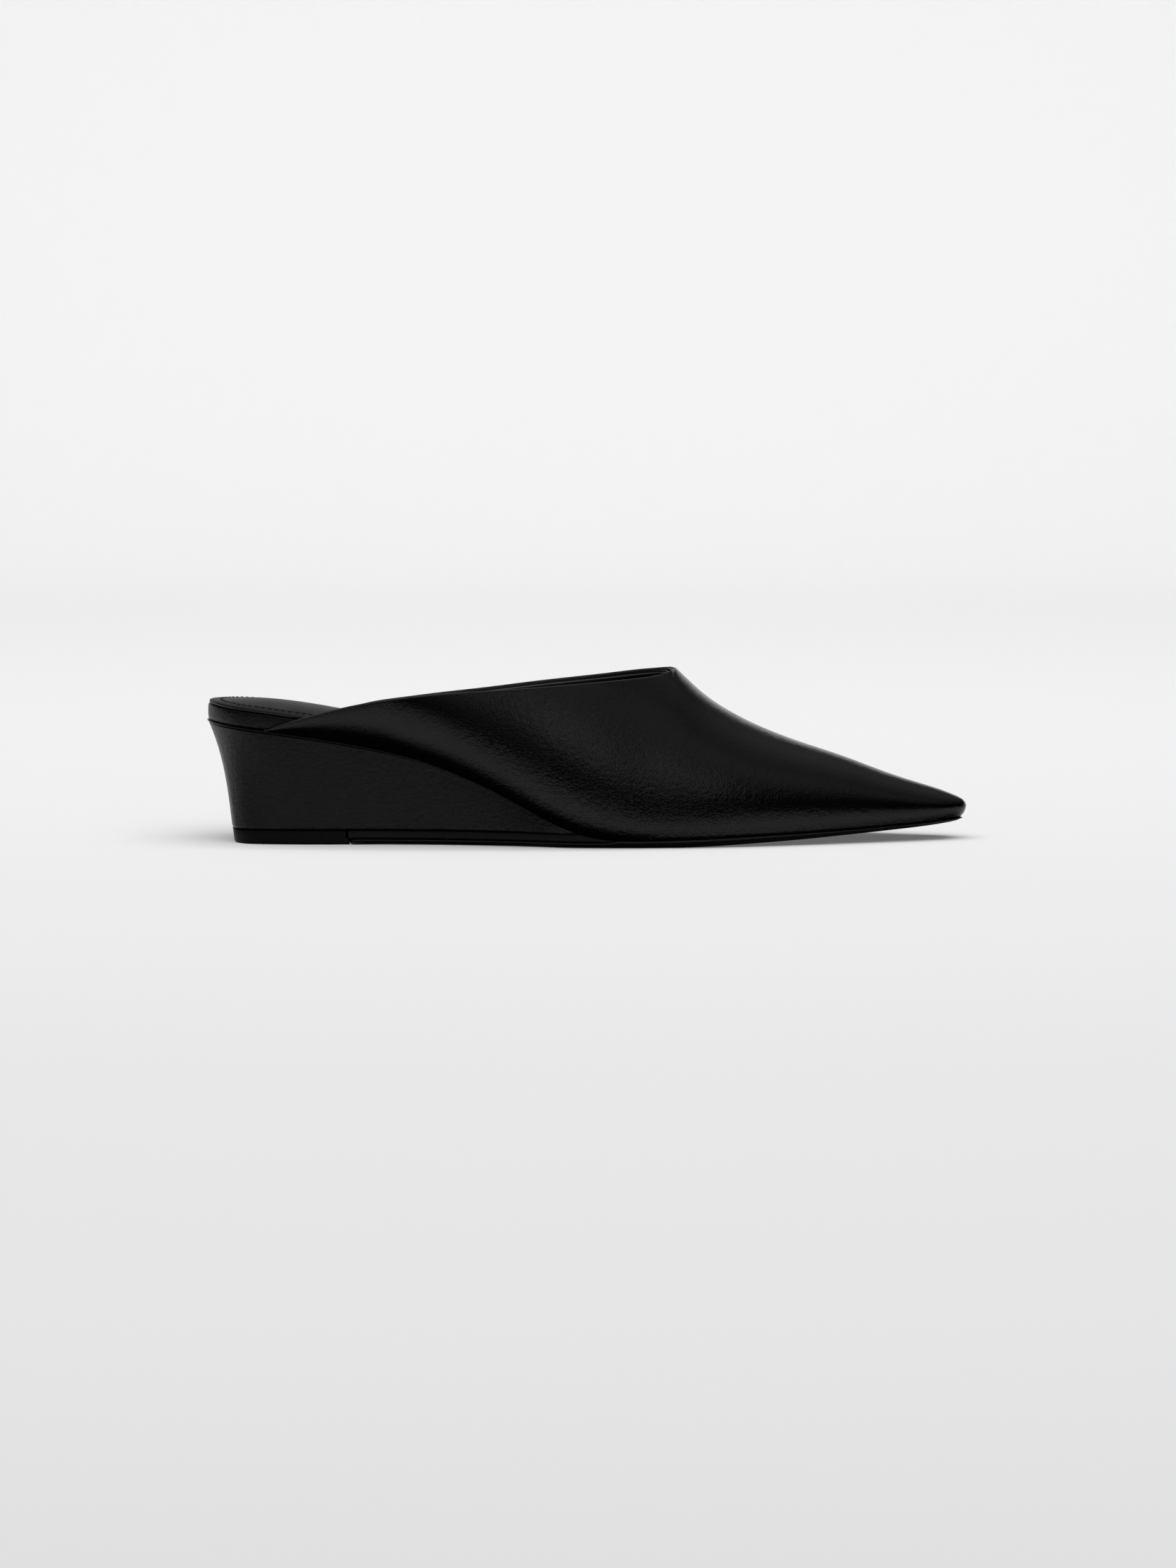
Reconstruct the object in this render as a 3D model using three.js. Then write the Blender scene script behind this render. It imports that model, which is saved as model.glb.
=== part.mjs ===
/**
 * Wedge mule, right shoe: a pointed, backless slip-on on a leather-covered wedge.
 * Millimetres. x runs from the back of the heel seat to the toe, y towards the medial
 * (big toe) side and z up from the floor; the finished group is centred over its footprint.
 */
import * as THREE from "three";
import { mergeVertices } from "three/addons/utils/BufferGeometryUtils.js";

// Driving dimensions
const FEATHER_LENGTH = 265.6; // heel back to the toe end of the feather line
const GAP = 0.3; // clearance between pieces that meet
const WALL = 1.5; // upper and lining together
const SKIVED_WALL = 0.8; // the same, thinned at the rear tips of the wings
const SKIVE_LENGTH = 18;
const THROAT = 165; // where the topline crosses the ridge
const LATERAL_WING_START = 21;
const MEDIAL_WING_START = 37;
const NOSE_START = 240; // from here on the ridge falls behind the feather line
const NOSE_SETBACK = 3.3;
const LATERAL_FULLNESS = 0.47; // 0.55 would be a quarter ellipse, less is a flatter flank
const MEDIAL_FULLNESS = 0.52;
const NOSE_FULLNESS = 0.5;

const HEEL_PLANE = 5; // underside of the wedge above the floor
const OUTSOLE_THICKNESS = 2;
const OUTSOLE_START = 56;
const OUTSOLE_LIP = 0.6; // how far the outsole stands out past the upper
const OUTSOLE_BEVEL = 1.6;
const TOE_BEVEL = 0.8;
const OUTSOLE_SHOULDER = 0.6; // height of the bevel, as a share of the outsole's thickness
const OUTSOLE_JOIN = 116; // from here to the ball its edge swings out to the feather line
const BALL = 146; // from here on the upper rests on the outsole itself
const WEDGE_END = 128;
const WEDGE_BACK_SET = 8.6; // how far the heel back slopes in down to the lift
const BASE_START = 50.2;
const BASE_END = 139.5;
const LIFT_END = 49.2;
const LIFT_INSET = 0.2; // of the lift's top edge within the wedge's foot
const LIFT_TAPER = 0.7;
const HEEL_ROUND = 14; // length over which the heel's back turns into its sides
const SEAT_BEVEL = 0.8; // soft top edge of the wrapped board
const SOCK_EDGE = 1.2;
const SOCK_INSET = 1.0;
const CROWN_POWER = 2.4; // 2 is a round crown, more is flatter with a quicker edge
const SOCK_SPINE = { start: 24, end: 238 }; // the crown's highest line
const SIDE_PLAY = 0.5; // between the board and the inside of the upper
const BOARD_STEP_IN = 12; // length over which the board's edge goes in behind a wing

/** Turns a header and rows of numbers into row objects. */
function table(columns, rows) {
  return rows.map((row) => Object.fromEntries(columns.map((name, i) => [name, row[i]])));
}

// The last, by distance from the heel back: middle line of the sole, half widths of the
// feather line from it, height of the feather line, ridge of the last (above the opening it
// is the instep that isn't covered) and its shift to the medial side, and the roll of the
// wall over the feather line: how far it stands out and how high its widest line is.
const LAST = table(
  ["x", "centre", "lateral", "medial", "feather", "ridge", "ridgeY", "roll", "rise"],
  [
    [0, 0, 0, 0, 42.2, 88, 0, 0.8, 6],
    [4, 0, 14.3, 14.3, 41.9, 89, 0, 0.8, 6],
    [10, 0, 21.6, 21.6, 41.4, 90, 0, 0.9, 6],
    [22, 0, 27.5, 27.5, 40.2, 92, 1, 1.2, 7],
    [36, 0, 29.1, 29.1, 38.4, 94, 2, 1.7, 8],
    [50, 0, 29.0, 28.5, 36.1, 95, 3, 2.2, 10],
    [66, 0, 28.8, 27.0, 32.8, 95, 4, 2.6, 12],
    [80, 0, 29.7, 25.6, 28.6, 94.5, 5, 2.9, 14],
    [95, 0, 31.6, 25.2, 22.6, 93, 6, 3.0, 15],
    [110, 0, 34.2, 26.7, 15.1, 89.5, 6.5, 3.0, 15],
    [122, 0, 36.3, 29.1, 8.7, 85, 7, 2.9, 14.5],
    [134, 0, 37.7, 31.8, 4.4, 79.5, 7, 2.7, 13.5],
    [146, 0, 38.3, 34.2, 2.9, 73, 7, 2.5, 11.5],
    [157, 0.1, 37.9, 35.9, 2.8, 66.3, 6.7, 2.3, 9.5],
    [165, 0.2, 37.3, 36.2, 2.95, 59.9, 6.4, 2.1, 8.5],
    [173.6, 0.3, 36.2, 35.9, 3.2, 51.9, 6, 2.0, 8],
    [182, 0.4, 34.6, 34.9, 3.5, 45.9, 5.6, 1.9, 7.6],
    [195, 0.7, 31.4, 32.0, 3.95, 39.2, 5, 1.8, 7.2],
    [210, 1.1, 26.9, 27.5, 4.5, 33.5, 4.5, 1.7, 6.7],
    [225, 1.6, 21.9, 22.3, 5.1, 28.5, 4, 1.7, 6.2],
    [240, 2.2, 16.6, 16.8, 5.9, 22.9, 3.5, 1.7, 5.5],
    [252, 2.6, 12.1, 12.1, 6.6, 19.1, 3.2, 1.8, 4.8],
    [260, 2.9, 8.2, 8.2, 7.2, 16.5, 3, 1.9, 4.3],
    [265.6, 3, 0, 0, 7.6, 14.2, 3, 1.9, 3.9],
  ],
);

// Height of the topline on the two sides. At its rear tip each wing ends on the feather line.
const LATERAL_TOPLINE = table(
  ["x", "z"],
  [[21, 40.3], [26, 42.2], [34, 44.7], [52, 49.3], [67, 51.9], [82, 53.6], [97, 54.6], [112, 55.6],
    [127, 56.6], [142, 57.6], [152, 58.3], [159, 59], [165, 59.9]],
);
const MEDIAL_TOPLINE = table(
  ["x", "z"],
  [[37, 38.2], [42, 40.8], [50, 44.2], [67, 47.6], [82, 49.6], [97, 51.3], [112, 53.2],
    [127, 55], [142, 56.9], [152, 58.4], [159, 59.3], [165, 59.9]],
);

// Underside of the wedge: half widths, which spread out to the feather line at its front end.
const WEDGE_FOOT = table(
  ["x", "lateral", "medial"],
  [
    [8.6, 0, 0], [12, 12.2, 12.2], [18, 18.8, 18.8], [28, 22.9, 22.9], [40, 24, 23.8],
    [56, 23.7, 22.3], [72, 24.4, 21], [88, 26.4, 21], [104, 29.6, 22.9], [116, 33, 25.8],
    [128, 37.1, 30.4], [134, 37.7, 31.8], [146, 38.3, 34.2],
  ],
);

// Underside of the outsole (toe spring), and the footbed's layers over the feather line.
const TOE_SPRING = table(
  ["x", "z"],
  [[167, 0], [177, 0.3], [192, 1], [207, 1.8], [222, 2.8], [237, 3.9], [252, 5.1], [265.6, 6.5]],
);
const FOOTBED = table(
  ["x", "board", "crown"],
  [
    [0, 6, 2.2], [40, 5.8, 2.4], [80, 4.6, 2], [120, 3.2, 1.6], [160, 2.5, 1.4], [220, 2.2, 0.9],
    [265.6, 1.8, 0.3],
  ],
);

/** A natural cubic curve through one column of a table, as a function of its x column. */
function curve(rows, key, power = 1) {
  const xs = rows.map((row) => row.x);
  const ys = rows.map((row) => row[key] ** power);
  const bend = new Array(xs.length).fill(0);
  const carry = new Array(xs.length).fill(0);
  for (let i = 1; i < xs.length - 1; i += 1) {
    const before = xs[i] - xs[i - 1];
    const after = xs[i + 1] - xs[i];
    const turn = 6 * ((ys[i + 1] - ys[i]) / after - (ys[i] - ys[i - 1]) / before);
    const pivot = 2 * (before + after) - before * carry[i - 1];
    carry[i] = after / pivot;
    bend[i] = (turn - before * bend[i - 1]) / pivot;
  }
  for (let i = xs.length - 2; i > 0; i -= 1) {
    bend[i] -= carry[i] * bend[i + 1];
  }
  return (x) => {
    let i = 0;
    while (i < xs.length - 2 && x > xs[i + 1]) {
      i += 1;
    }
    const step = xs[i + 1] - xs[i];
    const a = (xs[i + 1] - x) / step;
    const b = (x - xs[i]) / step;
    const bulge = ((a ** 3 - a) * bend[i] + (b ** 3 - b) * bend[i + 1]) * step * step / 6;
    return a * ys[i] + b * ys[i + 1] + bulge;
  };
}

const last = Object.fromEntries(
  ["centre", "feather", "ridge", "ridgeY", "roll", "rise"].map((key) => [key, curve(LAST, key)]),
);
// Half widths are joined through their squares, so that heel and toe end round.
const featherSquare = { lateral: curve(LAST, "lateral", 2), medial: curve(LAST, "medial", 2) };
const footSquare = {
  lateral: curve(WEDGE_FOOT, "lateral", 2),
  medial: curve(WEDGE_FOOT, "medial", 2),
};
const toplines = { lateral: curve(LATERAL_TOPLINE, "z"), medial: curve(MEDIAL_TOPLINE, "z") };
const spring = curve(TOE_SPRING, "z");
const SPRING_START = TOE_SPRING[0].x;
const boardThickness = curve(FOOTBED, "board");
const crown = curve(FOOTBED, "crown");

const SIGN = { lateral: -1, medial: 1 };
const WING_START = { lateral: LATERAL_WING_START, medial: MEDIAL_WING_START };
const FULLNESS = { lateral: LATERAL_FULLNESS, medial: MEDIAL_FULLNESS };

function smoothstep(from, to, x) {
  return THREE.MathUtils.smoothstep(x, from, to);
}

/** Plan normal of the feather line, pointing away from the foot. */
function planNormal(side, x) {
  const square = featherSquare[side];
  const step = 0.01;
  const low = Math.max(0, x - step);
  const high = Math.min(FEATHER_LENGTH, x + step);
  const slope = (square(high) - square(low)) / (high - low) / 2;
  const width = Math.sqrt(Math.max(0, square(x)));
  return new THREE.Vector3(-slope, SIGN[side] * width, 0).normalize();
}

/** A point of the feather line, moved in by `inset` and set to the height z. */
function featherPoint(side, x, inset = 0, z = last.feather(x)) {
  const width = Math.sqrt(Math.max(0, featherSquare[side](x)));
  const point = new THREE.Vector3(x, last.centre(x) + SIGN[side] * width, z);
  return point.addScaledVector(planNormal(side, x), -inset);
}

/** Where the ridge point of a section lies: behind the feather line once the nose turns in. */
function ridgePoint(x) {
  const turn = Math.max(0, (x - NOSE_START) / (FEATHER_LENGTH - NOSE_START));
  const ridgeX = x - NOSE_SETBACK * turn * turn;
  return new THREE.Vector3(ridgeX, last.ridgeY(ridgeX), last.ridge(ridgeX));
}

function ridgeSlope(x) {
  return last.ridge(x + 0.5) - last.ridge(x - 0.5);
}

function toplineHeight(side, x) {
  return x < THROAT ? toplines[side](x) : Infinity;
}

/** The two Bezier pieces of a section's flank: the roll over the feather, then up to the ridge. */
function flank(side, x) {
  const feather = featherPoint(side, x);
  const wingHeight = toplineHeight(side, x) - feather.z;
  const rise = Math.min(last.rise(x), wingHeight / 2);
  const roll = last.roll(x) * (rise / last.rise(x));
  const widest = feather.clone().addScaledVector(planNormal(side, x), roll);
  widest.z += rise;
  const under = widest.clone();
  under.z -= rise / 2;
  const ridge = ridgePoint(x);
  const nose = smoothstep(NOSE_START, FEATHER_LENGTH, x);
  const fullness = THREE.MathUtils.lerp(FULLNESS[side], NOSE_FULLNESS, nose);
  const over = widest.clone();
  over.z += fullness * (ridge.z - widest.z);
  const brow = ridge.clone().lerp(widest, fullness);
  brow.z = ridge.z + ridgeSlope(ridge.x) * (brow.x - ridge.x);
  return {
    roll: new THREE.QuadraticBezierCurve3(feather, under, widest),
    rise: new THREE.CubicBezierCurve3(widest, over, brow, ridge),
  };
}

/** How far along the upper Bezier piece the topline cuts it, 1 where the vamp is closed. */
function toplineCut(rise, height) {
  if (rise.getPoint(1).z <= height) {
    return 1;
  }
  let low = 0;
  let high = 1;
  for (let i = 0; i < 30; i += 1) {
    const middle = (low + high) / 2;
    if (rise.getPoint(middle).z < height) {
      low = middle;
    } else {
      high = middle;
    }
  }
  return (low + high) / 2;
}

const ROLL_STEPS = 4;
const RISE_STEPS = 8;
const FLANK_STEPS = ROLL_STEPS + RISE_STEPS;

/** Outer points of one flank at station x, from the feather line to the topline or ridge. */
function outerFlank(side, x) {
  if (x <= WING_START[side]) {
    return new Array(FLANK_STEPS + 1).fill(featherPoint(side, x));
  }
  const { roll, rise } = flank(side, x);
  const cut = toplineCut(rise, toplineHeight(side, x));
  const points = [];
  for (let j = 0; j <= ROLL_STEPS; j += 1) {
    points.push(roll.getPoint(j / ROLL_STEPS));
  }
  for (let j = 1; j <= RISE_STEPS; j += 1) {
    points.push(rise.getPoint((cut * j) / RISE_STEPS));
  }
  return points;
}

function wallThickness(side, x) {
  const skive = smoothstep(WING_START[side], WING_START[side] + SKIVE_LENGTH, x);
  return THREE.MathUtils.lerp(SKIVED_WALL, WALL, skive);
}

/** Inner points of a flank: the outer ones moved in by the wall along the surface normal. */
function innerFlank(side, x, outer) {
  const step = 0.02;
  const back = outerFlank(side, x - step);
  const ahead = outerFlank(side, Math.min(FEATHER_LENGTH, x + step));
  const thickness = wallThickness(side, x);
  const plan = planNormal(side, x);
  return outer.map((point, j) => {
    const across = outer[Math.min(j + 1, FLANK_STEPS)].clone().sub(outer[Math.max(j - 1, 0)]);
    const along = ahead[j].clone().sub(back[j]);
    let normal = along.cross(across).multiplyScalar(-SIGN[side]);
    if (x === FEATHER_LENGTH) {
      normal = new THREE.Vector3(across.z, 0, -across.x);
    }
    if (j === FLANK_STEPS && x >= THROAT) {
      normal = new THREE.Vector3(-ridgeSlope(point.x), 0, 1);
    }
    if (j === 0 || x === WING_START[side]) {
      normal = plan;
    }
    return point.clone().addScaledVector(normal.normalize(), -thickness);
  });
}

/** Collects quads and triangles into one closed geometry, leaving out the collapsed ones. */
class Skin {
  constructor() {
    this.positions = [];
  }

  triangle(a, b, c) {
    this.positions.push(...a.toArray(), ...b.toArray(), ...c.toArray());
  }

  quad(a, b, c, d) {
    this.triangle(a, b, c);
    this.triangle(a, c, d);
  }

  geometry() {
    const raw = new THREE.BufferGeometry();
    raw.setAttribute("position", new THREE.Float32BufferAttribute(this.positions, 3));
    const merged = mergeVertices(raw, 1e-3);
    const kept = [];
    for (let i = 0; i < merged.index.count; i += 3) {
      const corners = [0, 1, 2].map((k) => merged.index.getX(i + k));
      if (new Set(corners).size === 3) {
        kept.push(...corners);
      }
    }
    merged.setIndex(kept);
    merged.computeVertexNormals();
    return merged;
  }
}

/** Spreads count + 1 stations from a to b, with `ease` taking 0..1 to 0..1. */
function spread(a, b, count, ease) {
  return Array.from({ length: count + 1 }, (_, i) => a + (b - a) * ease(i / count));
}

/** Stations from a to b, close together at both ends, where outlines turn round. */
function stations(a, b, count) {
  return spread(a, b, count, (t) => (1 - Math.cos(Math.PI * t)) / 2);
}

/** Stations from a to b that only close up towards b. */
function closingStations(a, b, count) {
  return spread(a, b, count, (t) => Math.sin((Math.PI / 2) * t));
}

/** Stations from a to b that only close up towards a. */
function openingStations(a, b, count) {
  return spread(a, b, count, (t) => 1 - Math.cos((Math.PI / 2) * t));
}

const WING_STEPS = 26;
const VAMP_STEPS = 18;

/** The upper: one wall with two wings, open at the throat, over the heel and underneath. */
function upperGeometry() {
  const skin = new Skin();
  for (const side of ["lateral", "medial"]) {
    const wing = stations(WING_START[side], THROAT, WING_STEPS);
    const vamp = closingStations(THROAT, FEATHER_LENGTH, VAMP_STEPS);
    const xs = [...wing, ...vamp.slice(1)];
    const outer = xs.map((x) => outerFlank(side, x));
    const inner = xs.map((x, i) => innerFlank(side, x, outer[i]));
    const face = (a, b, c, d) => (side === "medial" ? skin.quad(a, b, c, d) : skin.quad(d, c, b, a));
    for (let i = 0; i < xs.length - 1; i += 1) {
      for (let j = 0; j < FLANK_STEPS; j += 1) {
        face(outer[i][j], outer[i][j + 1], outer[i + 1][j + 1], outer[i + 1][j]);
        face(inner[i][j], inner[i + 1][j], inner[i + 1][j + 1], inner[i][j + 1]);
      }
      face(outer[i][0], outer[i + 1][0], inner[i + 1][0], inner[i][0]);
      if (i < WING_STEPS) {
        const top = FLANK_STEPS;
        face(outer[i][top], inner[i][top], inner[i + 1][top], outer[i + 1][top]);
      }
    }
  }
  return skin.geometry();
}

/** A loop around the sole: the lateral side from back to front, then the medial side back. */
function loop(xs, pointAt) {
  const lateral = xs.map((x) => pointAt("lateral", x));
  const medial = xs.map((x) => pointAt("medial", x));
  return [...lateral, ...medial.reverse()];
}

/** Closes a stack of loops, from the lowest to the highest, with flat strips at both ends. */
function stackGeometry(loops) {
  const skin = new Skin();
  const count = loops[0].length;
  for (let level = 0; level < loops.length - 1; level += 1) {
    for (let k = 0; k < count; k += 1) {
      const next = (k + 1) % count;
      const [low, high] = [loops[level], loops[level + 1]];
      skin.quad(low[k], low[next], high[next], high[k]);
    }
  }
  const [bottom, top] = [loops[0], loops[loops.length - 1]];
  for (let k = 0; k < count / 2 - 1; k += 1) {
    const far = count - 1 - k;
    skin.quad(bottom[k], bottom[far], bottom[far - 1], bottom[k + 1]);
    skin.quad(top[k], top[k + 1], top[far - 1], top[far]);
  }
  return skin.geometry();
}

/** How far the back and sides of the wedge have spread from foot (0) to top (1). */
function flare(q) {
  return (q + q ** 3) / 2;
}

/** The underside of the wedge, where `x` is the station of the feather line above it. */
function footPoint(side, x, z) {
  const footX = x + WEDGE_BACK_SET * (1 - x / WEDGE_END);
  const width = Math.sqrt(Math.max(0, footSquare[side](footX)));
  return new THREE.Vector3(footX, SIGN[side] * width, z);
}

const WEDGE_LEVELS = 8;

function wedgeGeometry() {
  const xs = stations(0, WEDGE_END, 34);
  const loops = [];
  for (let level = 0; level <= WEDGE_LEVELS; level += 1) {
    const q = level / WEDGE_LEVELS;
    loops.push(loop(xs, (side, x) => {
      const low = footPoint(side, x, HEEL_PLANE + GAP / 2);
      const high = featherPoint(side, x, 0, last.feather(x) - GAP);
      const point = low.clone().lerp(high, flare(q));
      point.z = THREE.MathUtils.lerp(low.z, high.z, q);
      return point;
    }));
  }
  return stackGeometry(loops);
}

/** The base strip under the wedge's arch, thinned where the feather line comes down to it. */
function wedgeBaseGeometry() {
  const xs = stations(BASE_START, BASE_END, 22);
  const edge = (side, x, z) => {
    const width = Math.sqrt(footSquare[side](x));
    return new THREE.Vector3(x, SIGN[side] * width, z);
  };
  const top = (x) => Math.min(HEEL_PLANE - GAP / 2, last.feather(x) - GAP);
  const bottom = OUTSOLE_THICKNESS + GAP / 2;
  return stackGeometry([
    loop(xs, (side, x) => edge(side, x, bottom)),
    loop(xs, (side, x) => edge(side, x, top(x))),
  ]);
}

/** The heel lift, which carries the wedge's foot down to the floor with a slight taper. */
function liftGeometry() {
  const xs = openingStations(WEDGE_BACK_SET, LIFT_END, 20);
  const edge = (side, x, z, inset) => {
    const width = Math.sqrt(Math.max(0, footSquare[side](x)));
    const narrow = Math.max(0, width - inset) / Math.max(width, inset);
    const back = inset * (1 - smoothstep(WEDGE_BACK_SET, WEDGE_BACK_SET + HEEL_ROUND, x));
    return new THREE.Vector3(x + back, SIGN[side] * width * narrow, z);
  };
  return stackGeometry([
    loop(xs, (side, x) => edge(side, x, 0, LIFT_INSET + LIFT_TAPER)),
    loop(xs, (side, x) => edge(side, x, HEEL_PLANE - GAP / 2, LIFT_INSET)),
  ]);
}

/** Top of the outsole: under the base strip, then up to the upper's feather line. */
function outsoleTop(x) {
  const sheet = OUTSOLE_THICKNESS - GAP / 2;
  return THREE.MathUtils.lerp(sheet, last.feather(x) - GAP, smoothstep(BASE_END + GAP, BALL, x));
}

function outsoleBottom(x) {
  return x > SPRING_START ? Math.max(0, spring(x)) : 0;
}

function outsoleGeometry() {
  const xs = closingStations(OUTSOLE_START, FEATHER_LENGTH, 40);
  const edge = (side, x, inset, z) => {
    const foot = Math.sqrt(footSquare[side](Math.min(x, BALL)));
    const under = new THREE.Vector3(x, SIGN[side] * (foot - inset), z);
    return under.lerp(featherPoint(side, x, inset, z), smoothstep(OUTSOLE_JOIN, BALL, x));
  };
  const bevel = (x) => THREE.MathUtils.lerp(OUTSOLE_BEVEL, TOE_BEVEL, smoothstep(BALL, FEATHER_LENGTH, x));
  const shoulder = (x) => THREE.MathUtils.lerp(outsoleBottom(x), outsoleTop(x), OUTSOLE_SHOULDER);
  return stackGeometry([
    loop(xs, (side, x) => edge(side, x, bevel(x), outsoleBottom(x))),
    loop(xs, (side, x) => edge(side, x, -OUTSOLE_LIP / 2, shoulder(x))),
    loop(xs, (side, x) => edge(side, x, -OUTSOLE_LIP, outsoleTop(x))),
  ]);
}

/** How far the board lies inside the feather line: flush at the heel, within the wall ahead. */
function boardInset(side, x) {
  const start = WING_START[side];
  return THREE.MathUtils.lerp(GAP, WALL + SIDE_PLAY, smoothstep(start - BOARD_STEP_IN, start, x));
}

function boardTop(x) {
  return last.feather(x) + boardThickness(x);
}

/** The wrapped insole board, whose edge shows as the rand around the heel seat. */
function boardGeometry() {
  const xs = stations(0, FEATHER_LENGTH, 48);
  const at = (inset, z) => loop(xs, (side, x) => {
    const total = boardInset(side, x) + inset;
    return featherPoint(side, x, total, z(x));
  });
  return stackGeometry([
    at(0, last.feather),
    at(0, (x) => boardTop(x) - SEAT_BEVEL),
    at(SEAT_BEVEL, boardTop),
  ]);
}

/** The padded sock: a thin edge and a crown that rises towards its middle line. */
function sockGeometry() {
  const xs = stations(0, FEATHER_LENGTH, 48);
  const base = (x) => boardTop(x) + GAP;
  const at = (scale, height) => loop(xs, (side, x) => {
    const spineX = THREE.MathUtils.clamp(x, SOCK_SPINE.start, SOCK_SPINE.end);
    const spine = new THREE.Vector3(spineX, last.centre(spineX), 0);
    const edge = featherPoint(side, x, boardInset(side, x) + SOCK_INSET);
    const station = THREE.MathUtils.lerp(spineX, x, scale);
    const point = spine.lerp(edge, scale);
    point.z = base(station) + height(station);
    return point;
  });
  const dome = (scale) => at(scale, (x) => SOCK_EDGE + crown(x) * (1 - scale ** CROWN_POWER));
  const rings = [0.9, 0.7, 0.4, 0].map(dome);
  return stackGeometry([at(1, () => 0), at(1, () => SOCK_EDGE), ...rings]);
}

const leather = (color, roughness) => new THREE.MeshStandardMaterial({ color, roughness, metalness: 0 });
const NAPPA = leather(0x151414, 0.42);
const WRAP = leather(0x181717, 0.45);
const SOCK_LEATHER = leather(0x121111, 0.5);
const EDGE_FINISH = leather(0x0d0d0d, 0.55);
const RUBBER = leather(0x0b0b0b, 0.7);

function piece(name, geometry, material) {
  const mesh = new THREE.Mesh(geometry, material);
  mesh.name = name;
  return mesh;
}

const shoe = new THREE.Group();
shoe.add(
  piece("upper", upperGeometry(), NAPPA),
  piece("wedge", wedgeGeometry(), WRAP),
  piece("insole_board", boardGeometry(), WRAP),
  piece("insole_sock", sockGeometry(), SOCK_LEATHER),
  piece("wedge_base", wedgeBaseGeometry(), EDGE_FINISH),
  piece("outsole", outsoleGeometry(), RUBBER),
  piece("heel_lift", liftGeometry(), RUBBER),
);

const box = new THREE.Box3().setFromObject(shoe);
const middle = box.getCenter(new THREE.Vector3());
shoe.position.set(-middle.x, -middle.y, -box.min.z);

const part = new THREE.Group();
part.add(shoe);

export default part;
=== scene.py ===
"""Looks of the wedge mule, a right shoe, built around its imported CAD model.

Sizes are in millimetres in the shoe's own frame, as the CAD source has them: x from the
back of the heel seat to the toe, y to the medial side, z up. Meshes are written in metres.
"""

import bmesh
import bpy
import numpy as np
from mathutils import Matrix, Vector


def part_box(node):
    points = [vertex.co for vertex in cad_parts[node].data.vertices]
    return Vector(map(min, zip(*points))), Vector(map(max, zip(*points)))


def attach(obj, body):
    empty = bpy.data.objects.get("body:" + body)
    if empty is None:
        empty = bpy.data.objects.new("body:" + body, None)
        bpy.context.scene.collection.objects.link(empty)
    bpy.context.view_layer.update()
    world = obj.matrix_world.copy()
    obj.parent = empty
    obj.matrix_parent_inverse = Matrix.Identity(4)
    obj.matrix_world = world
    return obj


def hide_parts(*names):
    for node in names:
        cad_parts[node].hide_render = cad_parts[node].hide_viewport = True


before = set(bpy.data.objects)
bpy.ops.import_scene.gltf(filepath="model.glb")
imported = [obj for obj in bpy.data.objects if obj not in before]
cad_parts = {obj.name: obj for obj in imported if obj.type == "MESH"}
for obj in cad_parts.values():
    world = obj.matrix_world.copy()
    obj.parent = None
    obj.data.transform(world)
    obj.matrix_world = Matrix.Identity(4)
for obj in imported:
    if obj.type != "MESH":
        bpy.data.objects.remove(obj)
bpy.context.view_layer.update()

MM = 0.001
FEATHER_LENGTH = 265.6  # the feather line is where the upper meets the sole
GAP = 0.3  # left between glued parts
BALL = 146.0  # station of the ball of the foot

# Upper. A run is the pair of stations between which one value blends into another.
WALL = 1.5
SKIVED_WALL = 0.8  # the wall's thickness where a wing starts
SKIVE_LENGTH = 18.0
THROAT = 165.0  # where the two toplines meet
NOSE_START = 240.0
NOSE_SETBACK = 3.3  # how far the ridge stays behind the feather line at the nose
NOSE_FULLNESS = 0.5
WING_TUCK = 0.155  # how low the flank's roll turns in over the feather line
VAMP_TUCK = 0.45
TUCK_RUN = (40.0, 75.0)
WIDEST_SHARE = 0.62  # the widest line's height in the wing, which leans out to its top at the back
WIDEST_RUN = (60.0, 92.0)
VAMP_FULLNESS = 0.59
FULLNESS_RUN = (148.0, 184.0)

# Board and sock
BOARD_STEP_IN = 12.0  # length over which the board's edge steps in behind the wings
SIDE_PLAY = 0.5
SOCK_INSET = 0.4
SOCK_EDGE = 1.2  # height of the sock's edge
SOCK_SPINE = (24.0, 238.0)  # ends of the line that the crown rises to
CROWN_POWER = 2.0
STITCH_INSET = 4.0
STITCH_PITCH = 2.45
STITCH_LENGTH = 1.75
STITCH_END = 182.0
STITCH_RADIUS = 0.26
STITCH_ARCH = 0.18
STITCH_SINK = 0.12
CHANNEL_DEPTH = 0.38  # of the channel that the stitches pull into the sock

# Wedge and the strip under its arch
WEDGE_END = 128.0
WEDGE_BACK_SET = 8.6
HEEL_PLANE = 5.0  # height of the joint between the heel lift and the wedge
HOLLOW_RUN = (8.0, 40.0)
HOLLOWS = (0.5, 0.12)  # how hollow the side is before and after that run
LIP_RUN = (58.0, 78.0)  # where the rolled lip on the wedge's top edge fades out
LIP_FADE = 0.85
BEAD = {"place": 0.4, "width": 0.24, "height": 0.24}  # the lip, by depth under the top edge
GROOVE = {"place": 0.85, "width": 0.14, "height": -0.2}
THIN_TIP = 0.12  # height at which a tapering end is cut off
BASE_START = 50.2
BASE_END = 139.5

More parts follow.
